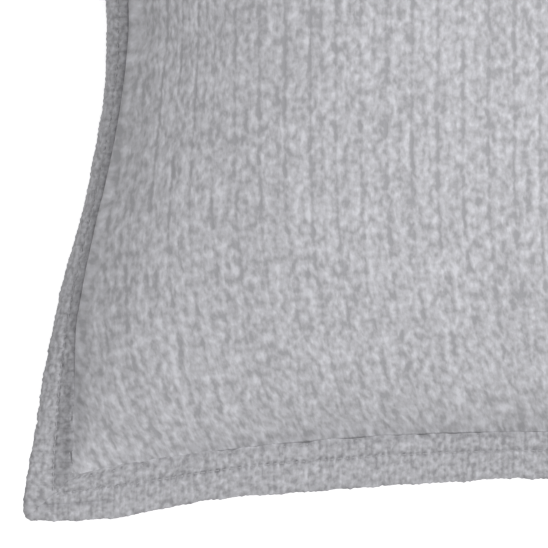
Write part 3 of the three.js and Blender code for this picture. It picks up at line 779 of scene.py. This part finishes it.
# the fill: one lofty body of fibre, clear of the shells
nf = 120
u, v, Pf_ = insert_shell("fill_f", True, nf, INSERT_OFF + 2.6, 0.5, 16.0, 83)
_, _, Pb_ = insert_shell("fill_b", False, nf, INSERT_OFF + 2.6, 0.5, 16.0, 84)
V = np.concatenate([Pf_.reshape(-1, 3), Pb_.reshape(-1, 3)])
faces = [tuple(x) for x in grid_quads(nf, nf, 0)] + [tuple(x) for x in grid_quads(nf, nf, nf * nf, True)]
ring = [(i, 0) for i in range(nf)] + [(nf - 1, j) for j in range(1, nf)] + [(i, nf - 1) for i in range(nf - 2, -1, -1)] + [(0, j) for j in range(nf - 2, 0, -1)]
for a, b in zip(ring, ring[1:] + ring[:1]):
    ia, ib = a[0] * nf + a[1], b[0] * nf + b[1]
    faces.append((ia, ib, nf * nf + ib, nf * nf + ia))
fill = new_object("insert_fibre_fill", V, faces)
set_cloth(fill, np.concatenate([np.stack([u * 229, v * 233, np.full_like(u, 600.0)], -1).reshape(-1, 3)] * 2))


def rim_run(name, inset, z, pitch, length, radius):
    pts = []
    for side, f in (("b", lambda t: (t, -1 + 0 * t)), ("r", lambda t: (1 + 0 * t, t)), ("t", lambda t: (-t, 1 + 0 * t)), ("l", lambda t: (-1 + 0 * t, -t))):
        n = int(440 / pitch)
        t = np.linspace(-0.985, 0.985, n)
        uu, vv = f(t)
        p = np.stack([uu * x_seam(vv), vv * y_seam(uu), np.full_like(t, MID_Z)], -1)
        pts.append(p + inward(p) * inset + np.array([0, 0, z]))
    P = np.concatenate(pts)
    T = np.roll(P, -1, 0) - np.roll(P, 1, 0)
    T /= np.linalg.norm(T, axis=-1, keepdims=True)
    U = np.tile([0.0, 0.0, 1.0], (len(P), 1))
    return thread_runs(name, P, T, U, np.full(len(P), length), radius, sink=0.12)


ins_seam = rim_run("insert_seam_stitches", INSERT_OFF + 0.4, 0.0, 3.4, 2.6, 0.2)


# ------------------------------------------------------------------ the zip, in its own straight frame
ZC, ZS = math.cos(ZIP_TILT), math.sin(ZIP_TILT)


def zip_point(x, across, inward_n):
    """Zip frame (x along, across the zip, into the pillow) to the row frame, mm."""
    x, a, n = np.broadcast_arrays(np.asarray(x, float), np.asarray(across, float), np.asarray(inward_n, float))
    return np.stack([x, ZIP_Y + a * ZC + n * ZS, ZIP_Z - a * ZS + n * ZC], -1)


def zip_runs(name, across, n_level, x0, x1, pitch, length, radius):
    n = int((x1 - x0) / pitch)
    x = np.linspace(x0, x1, n)
    P = zip_point(x, across, n_level)
    T = np.tile([1.0, 0, 0], (n, 1))
    U = np.tile([0, ZS, ZC], (n, 1))
    return thread_runs(name, P, T, U, np.full(n, length), radius, sink=0.25)


zst_up = zip_runs("zip_stitch_upper_thread", 8.9, 2.55, -157, 157, 3.2, 2.7, 0.2)
zst_low = zip_runs("zip_stitch_lower_thread", -8.9, 2.55, -157, 157, 3.2, 2.7, 0.2)


def bar_tack(name, x):
    m = 13
    k = np.arange(m)
    a = (k - (m - 1) / 2) * 0.46
    P = zip_point(x + 0.0 * a, a, -0.62 + 0 * a)
    T = np.tile([1.0, 0, 0], (m, 1)) * 0.97 + np.array([0, ZC, -ZS]) * 0.24
    T /= np.linalg.norm(T, axis=-1, keepdims=True)
    U = np.tile([0, -ZS, -ZC], (m, 1))
    return thread_runs(name, P, T, U, np.full(m, 2.1), 0.2, sink=0.3)


tack_l, tack_r = bar_tack("bar_tack_left_thread", -162.2), bar_tack("bar_tack_right_thread", 162.2)


def coil(name, side):
    """One nylon spiral: flattened turns, 1.25 mm apart, along the tape's edge."""
    turns = int(308 / 1.25)
    k = 12
    ph = np.arange(turns * k + 1) * 2 * np.pi / k
    x = -154 + 0.35 + (308 - 0.7) * ph / ph[-1]
    a = side * (1.85 + 0.80 * np.cos(ph))
    n = 2.5 + 1.2 + 0.88 * np.sin(ph)
    C = zip_point(x, a, n)
    T = np.gradient(C, axis=0)
    T /= np.linalg.norm(T, axis=-1, keepdims=True)
    ref = np.stack([0 * x, ZC * side * np.cos(ph) + ZS * np.sin(ph), -ZS * side * np.cos(ph) + ZC * np.sin(ph)], -1)
    s1 = np.cross(T, ref)
    s1 /= np.linalg.norm(s1, axis=-1, keepdims=True)
    s2 = np.cross(s1, T)
    r, m = 0.27, 6
    an = 2 * np.pi * np.arange(m) / m
    V = C[:, None] + r * (s1[:, None] * np.cos(an)[None, :, None] + s2[:, None] * np.sin(an)[None, :, None])
    L = len(C)
    i, j = np.meshgrid(np.arange(L - 1), np.arange(m), indexing="ij")
    p, q = i * m + j, i * m + (j + 1) % m
    faces = [tuple(f) for f in np.stack([p, q, q + m, p + m], -1).reshape(-1, 4)]
    faces += [tuple(range(m))[::-1], tuple((L - 1) * m + x_ for x_ in range(m))]
    o = new_object(name, V, faces)
    import bmesh
    bm = bmesh.new(); bm.from_mesh(o.data); bmesh.ops.recalc_face_normals(bm, faces=bm.faces); bm.to_mesh(o.data); bm.free()
    o.data.polygons.foreach_set("use_smooth", np.ones(len(o.data.polygons), bool))
    set_cloth(o, np.stack([np.repeat(x, m), np.tile(an, L), np.full(L * m, 800.0)], -1))
    return o


coil_up, coil_low = coil("zip_coil_upper_spiral", 1), coil("zip_coil_lower_spiral", -1)


# ------------------------------------------------------------------ materials
class Graph:
    def __init__(self, name):
        self.m = bpy.data.materials.new(name)
        self.m.use_nodes = True
        self.nt = self.m.node_tree
        self.nt.nodes.clear()
        self.out = self.n("ShaderNodeOutputMaterial")
        self.b = self.n("ShaderNodeBsdfPrincipled")
        self.nt.links.new(self.b.outputs[0], self.out.inputs[0])

    def n(self, kind, **kw):
        node = self.nt.nodes.new(kind)
        for k, v in kw.items():
            setattr(node, k, v)
        return node

    def link(self, a, b):
        self.nt.links.new(a, b)

    def put(self, node, key, value):
        if isinstance(value, bpy.types.NodeSocket):
            self.link(value, node.inputs[key])
        else:
            node.inputs[key].default_value = value

    def math(self, op, a, b=0.5, clamp=False):
        node = self.n("ShaderNodeMath", operation=op, use_clamp=clamp)
        self.put(node, 0, a)
        self.put(node, 1, b)
        return node.outputs[0]

    def cloth(self):
        a = self.n("ShaderNodeAttribute", attribute_type="GEOMETRY", attribute_name="cloth")
        return a.outputs["Vector"]

    def scaled(self, vec, sx, sy, sz=1.0, off=(0, 0, 0)):
        m = self.n("ShaderNodeMapping")
        self.put(m, 0, vec)
        m.inputs["Scale"].default_value = (sx, sy, sz)
        m.inputs["Location"].default_value = off
        return m.outputs[0]

    def noise(self, vec, scale=1.0, detail=2.0, rough=0.5, distort=0.0):
        t = self.n("ShaderNodeTexNoise", noise_dimensions="3D")
        self.put(t, "Vector", vec)
        t.inputs["Scale"].default_value = scale
        t.inputs["Detail"].default_value = detail
        t.inputs["Roughness"].default_value = rough
        t.inputs["Distortion"].default_value = distort
        return t.outputs["Fac"]

    def ramp(self, fac, stops):
        r = self.n("ShaderNodeValToRGB")
        self.put(r, 0, fac)
        e = r.color_ramp.elements
        while len(e) > 1:
            e.remove(e[-1])
        e[0].position, e[0].color = stops[0][0], (*stops[0][1], 1)
        for p, c in stops[1:]:
            x = e.new(p)
            x.color = (*c, 1)
        return r.outputs[0]

    def bump(self, height, strength, distance):
        b = self.n("ShaderNodeBump")
        b.inputs["Strength"].default_value = strength
        b.inputs["Distance"].default_value = distance
        self.put(b, "Height", height)
        self.link(b.outputs[0], self.b.inputs["Normal"])


def knit(name, mean, spread, pitch, streak=(3.0, 4.6, 4.2, 15.0), warm=0.0, gap=0.10, sheen=0.12):
    """Heather grey brushed knit: streaky yarn of mixed greys along the wales, wales that differ a little,
    shaded gaps between them, and short loose fibre. mean is linear grey, spread the streaks' share of it."""
    g = Graph(name)
    c = g.cloth()
    sep = g.n("ShaderNodeSeparateXYZ")
    g.link(c, sep.inputs[0])
    wob = g.noise(g.scaled(c, 1 / 9.0, 1 / 16.0), 1.0, 2.0)
    x = g.math("ADD", sep.outputs[0], g.math("MULTIPLY", g.math("SUBTRACT", wob, 0.5), 3.0))
    comb = g.n("ShaderNodeCombineXYZ")
    g.link(x, comb.inputs[0]); g.link(sep.outputs[1], comb.inputs[1]); g.link(sep.outputs[2], comb.inputs[2])
    cv = comb.outputs[0]
    streaks = g.noise(g.scaled(cv, 1 / streak[0], 1 / streak[1]), 1.0, 2.0, 0.45)
    wide = g.noise(g.scaled(cv, 1 / streak[2], 1 / streak[3], 1.0, (5.1, 2.7, 0)), 1.0, 2.0, 0.5)
    fibre = g.noise(g.scaled(cv, 1 / 0.55, 1 / 2.4, 1.0, (1.7, 9.3, 0)), 1.0, 2.0, 0.6)
    cloud = g.noise(g.scaled(c, 1 / 30.0, 1 / 46.0, 1.0, (3.3, 8.8, 0)), 1.0, 2.0, 0.5)
    # one tone to a wale, and a shaded gap between wales that comes and goes; every second gap is deeper
    wn = g.n("ShaderNodeTexWhiteNoise", noise_dimensions="1D")
    g.link(g.math("FLOOR", g.math("ADD", g.math("DIVIDE", sep.outputs[0], pitch), 0.5)), wn.inputs["W"])
    wave = g.math("COSINE", g.math("MULTIPLY", sep.outputs[0], 2 * math.pi / pitch), 0)
    gaps = g.math("POWER", g.math("MULTIPLY", g.math("SUBTRACT", 1.0, wave), 0.5), 3.2)
    deep = g.math("COSINE", g.math("ADD", g.math("MULTIPLY", sep.outputs[0], math.pi / pitch), -math.pi / 2), 0)
    gaps = g.math("MULTIPLY", gaps, g.math("ADD", 1.0, g.math("MULTIPLY", deep, 0.6)))
    low = g.math("MULTIPLY", g.math("SUBTRACT", g.math("MULTIPLY", sep.outputs[1], -1.0), 105.0), 1 / 80.0, True)
    gaps = g.math("MULTIPLY", gaps, g.math("SUBTRACT", 1.0, g.math("MULTIPLY", low, 0.5)))     # the slanting wales blur together
    gaps = g.math("MULTIPLY", g.math("MULTIPLY", gaps, -gap), g.math("MULTIPLY", g.math("SUBTRACT", 1.1, wide), 1.7))
    f = g.math("MULTIPLY", g.math("SUBTRACT", streaks, 0.5), 2.3)
    f = g.math("ADD", f, g.math("MULTIPLY", g.math("SUBTRACT", wide, 0.5), 1.3))
    f = g.math("ADD", f, g.math("MULTIPLY", g.math("SUBTRACT", fibre, 0.5), 0.35))
    f = g.math("ADD", f, g.math("MULTIPLY", g.math("SUBTRACT", cloud, 0.5), 0.35))
    f = g.math("ADD", f, g.math("MULTIPLY", g.math("SUBTRACT", wn.outputs["Value"], 0.5), 0.12))
    f = g.math("ADD", g.math("ADD", f, g.math("MULTIPLY", gaps, 2.4)), 0.5)
    lo, hi = mean * (1 - 1.9 * spread), mean * (1 + 1.9 * spread)
    def tone(k, tint=0.0):
        return (k * (1 - 0.006 + tint), k * (1 - 0.008), k * (1.045 - tint))
    col = g.ramp(f, [(0.0, tone(lo)), (0.28, tone(mean * (1 - 0.8 * spread), 0.004)), (0.5, tone(mean)), (0.74, tone(mean * (1 + 0.8 * spread))), (1.0, tone(hi, -0.003))])
    painted_shade = g.n("ShaderNodeAttribute", attribute_type="GEOMETRY", attribute_name="painted_shade")
    darker = g.n("ShaderNodeVectorMath", operation="SCALE")        # painted shade: the colour is made up to 30 % darker where seam valleys, stitch dents and creases lie in shade
    g.link(col, darker.inputs[0])
    g.link(g.math("SUBTRACT", 1.0, g.math("MULTIPLY", painted_shade.outputs["Fac"], 0.30)), darker.inputs["Scale"])
    g.link(darker.outputs[0], g.b.inputs["Base Color"])
    rough = g.math("ADD", 0.86, g.math("MULTIPLY", g.math("SUBTRACT", streaks, 0.5), 0.15))
    g.link(rough, g.b.inputs["Roughness"])
    g.b.inputs["Specular IOR Level"].default_value = 0.18
    g.b.inputs["Sheen Weight"].default_value = sheen
    g.b.inputs["Sheen Roughness"].default_value = 0.6
    h = g.math("ADD", g.math("MULTIPLY", streaks, 0.7), g.math("MULTIPLY", fibre, 0.14))
    h = g.math("ADD", h, g.math("MULTIPLY", wide, 0.35))
    g.bump(h, 0.5, 0.0010)
    return g.m


def plain_weave(name, colour, pitch, spread=0.06, rough=0.85, bump=0.0002, sheen=0.1):
    """A fine plain weave: warp and weft as crossed waves, with uneven yarns."""
    g = Graph(name)
    c = g.n("ShaderNodeTexCoord").outputs["Object"] if name in ("zip_tape_weave", "label_weave") else g.cloth()
    k = 1.0 if name not in ("zip_tape_weave", "label_weave") else 1000.0
    sep = g.n("ShaderNodeSeparateXYZ")
    g.link(c, sep.inputs[0])
    wx = g.math("SINE", g.math("MULTIPLY", sep.outputs[0], 2 * math.pi * k / pitch), 0)
    wy = g.math("SINE", g.math("MULTIPLY", sep.outputs[1], 2 * math.pi * k / pitch), 0)
    w = g.math("MULTIPLY", wx, wy)
    nz = g.noise(g.scaled(c, k / 2.5, k / 2.5, k / 2.5), 1.0, 3.0, 0.6)
    f = g.math("ADD", g.math("MULTIPLY", w, 0.22), g.math("MULTIPLY", nz, 0.9))
    lo = tuple(x * (1 - spread) for x in colour)
    hi = tuple(min(1, x * (1 + spread)) for x in colour)
    g.link(g.ramp(f, [(0.1, lo), (0.5, colour), (0.9, hi)]), g.b.inputs["Base Color"])
    g.link(g.math("ADD", rough, g.math("MULTIPLY", g.math("SUBTRACT", nz, 0.5), 0.1)), g.b.inputs["Roughness"])
    g.b.inputs["Specular IOR Level"].default_value = 0.25
    g.b.inputs["Sheen Weight"].default_value = sheen
    g.bump(g.math("ADD", g.math("MULTIPLY", w, 0.5), nz), 0.6, bump)
    return g.m


def thread_mat(name, colour):
    g = Graph(name)
    c = g.cloth()
    sep = g.n("ShaderNodeSeparateXYZ")
    g.link(c, sep.inputs[0])
    ply = g.math("SINE", g.math("ADD", g.math("MULTIPLY", sep.outputs[0], 7.5), g.math("MULTIPLY", sep.outputs[1], 9.0)), 0)
    nz = g.noise(g.scaled(c, 1.3, 2.0), 1.0, 2.0)
    f = g.math("ADD", g.math("MULTIPLY", ply, 0.18), nz)
    g.link(g.ramp(f, [(0.2, tuple(x * 0.86 for x in colour)), (0.5, colour), (0.8, tuple(x * 1.1 for x in colour))]), g.b.inputs["Base Color"])
    g.link(g.math("ADD", 0.62, g.math("MULTIPLY", nz, 0.2)), g.b.inputs["Roughness"])
    g.b.inputs["Specular IOR Level"].default_value = 0.3
    g.b.inputs["Sheen Weight"].default_value = 0.1
    g.bump(ply, 0.5, 0.00015)
    return g.m


def nylon(name, colour):
    g = Graph(name)
    c = g.n("ShaderNodeTexCoord").outputs["Object"]
    nz = g.noise(g.scaled(c, 900, 900, 900), 1.0, 2.0)
    g.link(g.ramp(nz, [(0.25, tuple(x * 0.92 for x in colour)), (0.75, tuple(x * 1.06 for x in colour))]), g.b.inputs["Base Color"])
    g.link(g.math("ADD", 0.32, g.math("MULTIPLY", nz, 0.16)), g.b.inputs["Roughness"])
    g.bump(nz, 0.25, 0.00005)
    return g.m


def lacquer(name, colour):
    """Satin lacquered die casting: fine orange peel, and rubbed brighter on edges that fingers reach."""
    g = Graph(name)
    c = g.n("ShaderNodeTexCoord").outputs["Object"]
    fine = g.noise(g.scaled(c, 2600, 2600, 2600), 1.0, 2.0)
    worn = g.noise(g.scaled(c, 420, 420, 420), 1.0, 4.0, 0.65)
    geo = g.n("ShaderNodeNewGeometry")
    edge = g.math("MULTIPLY", g.math("SUBTRACT", geo.outputs["Pointiness"], 0.52), 9.0, True)
    wear = g.math("MULTIPLY", edge, worn, True)
    g.link(g.ramp(g.math("ADD", g.math("MULTIPLY", fine, 0.3), wear), [(0.1, tuple(x * 0.93 for x in colour)), (0.35, colour), (0.9, tuple(min(1, x * 1.5) for x in colour))]), g.b.inputs["Base Color"])
    g.b.inputs["Metallic"].default_value = 0.85
    g.link(g.math("ADD", 0.30, g.math("MULTIPLY", worn, 0.18)), g.b.inputs["Roughness"])
    g.bump(fine, 0.2, 0.00003)
    return g.m


def fibre_mat(name):
    g = Graph(name)
    c = g.cloth()
    a = g.noise(g.scaled(c, 0.9, 0.25), 1.0, 4.0, 0.7, 1.5)
    b = g.noise(g.scaled(c, 0.12, 0.12), 1.0, 3.0, 0.6, 0.8)
    f = g.math("ADD", g.math("MULTIPLY", a, 0.6), g.math("MULTIPLY", b, 0.4))
    g.link(g.ramp(f, [(0.25, (0.74, 0.74, 0.72)), (0.55, (0.90, 0.90, 0.88)), (0.8, (0.95, 0.95, 0.94))]), g.b.inputs["Base Color"])
    g.b.inputs["Roughness"].default_value = 0.95
    g.b.inputs["Subsurface Weight"].default_value = 0.0
    g.b.inputs["Sheen Weight"].default_value = 0.4
    g.bump(f, 0.9, 0.002)
    return g.m


M_KNIT = knit("knit_body", 0.53, 0.145, WALE, gap=0.10)
M_BACK = M_KNIT
M_FLANGE = knit("knit_flange", 0.44, 0.152, RIB, streak=(2.6, 2.7, 3.6, 5.0), gap=0.04)
M_THREAD = thread_mat("sewing_thread_grey", (0.45, 0.45, 0.47))
M_THREAD_W = thread_mat("sewing_thread_white", (0.82, 0.81, 0.78))
M_COTTON = plain_weave("insert_cotton", (0.86, 0.85, 0.82), 0.7, 0.03, 0.88)
M_TAPE = plain_weave("zip_tape_weave", (0.36, 0.36, 0.38), 0.9, 0.12, 0.8)
M_LABEL = plain_weave("label_weave", (0.88, 0.88, 0.86), 0.5, 0.03, 0.6)
M_COIL = nylon("zip_nylon", (0.42, 0.42, 0.44))
M_METAL = lacquer("zip_lacquer", (0.46, 0.46, 0.48))
M_FILL = fibre_mat("polyester_fibre")


def finish_piece(o, mat, slot, body, *nodes):
    o.data.materials.clear()
    o.data.materials.append(mat)
    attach(o, body)
    if nodes:
        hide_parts(*nodes)


finish_piece(front, M_KNIT, "knit", "cover", "front_panel")
finish_piece(back_upper, M_BACK, "knit", "cover", "back_panel_upper")
finish_piece(back_lower, M_BACK, "knit", "cover", "back_panel_lower")
for s_, o_ in flange.items():
    finish_piece(o_, M_FLANGE, "knit_flange", "cover", "flange_" + s_)
finish_piece(top_front, M_THREAD, "thread", "cover", "flange_topstitch_front")
finish_piece(top_back, M_THREAD, "thread", "cover", "flange_topstitch_back")
finish_piece(seam_thread, M_THREAD, "thread", "cover", "body_seam_thread")
finish_piece(ins_front, M_COTTON, "insert_cloth", "cover", "insert_front_shell")
finish_piece(ins_back, M_COTTON, "insert_cloth", "cover", "insert_back_shell")
finish_piece(fill, M_FILL, "fibre_fill", "cover", "insert_fill")
finish_piece(ins_seam, M_THREAD_W, "insert_thread", "cover", "insert_seam_thread")
finish_piece(zst_up, M_THREAD, "thread", "cover", "zip_stitch_upper")
finish_piece(zst_low, M_THREAD, "thread", "cover", "zip_stitch_lower")
finish_piece(tack_l, M_THREAD, "thread", "cover", "bar_tack_left")
finish_piece(tack_r, M_THREAD, "thread", "cover", "bar_tack_right")
finish_piece(coil_up, M_COIL, "zip_coil", "cover", "zip_coil_upper")
finish_piece(coil_low, M_COIL, "zip_coil", "cover", "zip_coil_lower")

for n_, m_ in (("zip_tape_upper", M_TAPE), ("zip_tape_lower", M_TAPE), ("zip_top_stop_upper", M_COIL), ("zip_top_stop_lower", M_COIL),
               ("zip_bottom_stop", M_COIL), ("zip_slider", M_METAL), ("zip_pull_tab", M_METAL), ("care_label", M_LABEL), ("insert_label", M_LABEL)):
    o_ = frame["nodes"][n_]
    o_.data.materials.clear()
    o_.data.materials.append(m_)
    if n_ in ("zip_slider", "zip_pull_tab", "zip_top_stop_upper", "zip_top_stop_lower", "zip_bottom_stop"):
        bv = o_.modifiers.new("edges", "BEVEL")
        bv.width, bv.segments, bv.limit_method, bv.angle_limit = 0.00018, 2, "ANGLE", math.radians(35)

# ------------------------------------------------------------------ stage, light, camera
bpy.ops.mesh.primitive_circle_add(vertices=96, radius=9.0, fill_type="NGON", location=(0, 0, -0.0006))
floor = bpy.context.object
floor.name = "floor"
fm = bpy.data.materials.new("pale_floor")
fm.use_nodes = True
nt = fm.node_tree
pb = nt.nodes["Principled BSDF"]
pb.inputs["Base Color"].default_value = (0.86, 0.86, 0.86, 1)
pb.inputs["Roughness"].default_value = 0.9
pb.inputs["Emission Color"].default_value = (1, 1, 1, 1)
pb.inputs["Emission Strength"].default_value = 0.66
pd = nt.nodes.new("ShaderNodeBsdfPrincipled")  # what the pillow's underside sees of the floor, without the glow
pd.inputs["Base Color"].default_value = (0.86, 0.86, 0.86, 1)
pd.inputs["Roughness"].default_value = 0.9
pd.inputs["Emission Color"].default_value = (1, 1, 1, 1)
pd.inputs["Emission Strength"].default_value = 0.30
pm = nt.nodes.new("ShaderNodeMixShader")
pl = nt.nodes.new("ShaderNodeLightPath")
nt.links.new(pl.outputs["Is Camera Ray"], pm.inputs[0])
nt.links.new(pd.outputs[0], pm.inputs[1])
nt.links.new(pb.outputs[0], pm.inputs[2])
nt.links.new(pm.outputs[0], nt.nodes["Material Output"].inputs["Surface"])
floor.data.materials.append(fm)

world = bpy.data.worlds.new("studio")
bpy.context.scene.world = world
world.use_nodes = True
wt = world.node_tree
wb = wt.nodes["Background"]
wb.inputs[0].default_value = (1, 1, 1, 1)
wb.inputs[1].default_value = 0.275           # the soft light all round
wp = wt.nodes.new("ShaderNodeBackground")    # the pale backdrop that is seen behind the floor
wp.inputs[0].default_value = (0.93, 0.93, 0.93, 1)
wp.inputs[1].default_value = 1.0
wm = wt.nodes.new("ShaderNodeMixShader")
wl = wt.nodes.new("ShaderNodeLightPath")
wt.links.new(wl.outputs["Is Camera Ray"], wm.inputs[0])
wt.links.new(wb.outputs[0], wm.inputs[1])
wt.links.new(wp.outputs[0], wm.inputs[2])
wt.links.new(wm.outputs[0], wt.nodes["World Output"].inputs[0])


def area(name, at, aim, size, power):
    d = bpy.data.lights.new(name, "AREA")
    d.shape, d.size, d.energy = "DISK", size, power
    o = bpy.data.objects.new(name, d)
    bpy.context.scene.collection.objects.link(o)
    o.location = at
    o.rotation_mode = "QUATERNION"
    o.rotation_quaternion = (Vector(aim) - Vector(at)).to_track_quat("-Z", "Y")
    o.visible_camera = False
    return o


area("front", (0.3, 0.2, 2.6), (0, 0, 0.08), 1.6, 34.5)
area("key", (1.55, 0.55, 1.75), (0, 0, 0.08), 1.2, 9.4)
area("low", (1.3, -1.0, 1.8), (0, 0, 0.08), 1.2, 11.0)

cam_data = bpy.data.cameras.new("camera")
cam = bpy.data.objects.new("camera", cam_data)
bpy.context.scene.collection.objects.link(cam)
cam_data.sensor_width = 36.0
cam_data.lens = 250.0
VIEW_W = 0.508 * 548 / 1000
cam.location = (-0.1260, -0.1290, MID_Z / 1000 + VIEW_W * cam_data.lens / 36.0)
cam.rotation_euler = (0, 0, 0)
cam_data.clip_end = 50
bpy.context.scene.camera = cam
bpy.context.scene.view_settings.view_transform = "Standard"
bpy.context.scene.view_settings.look = "None"
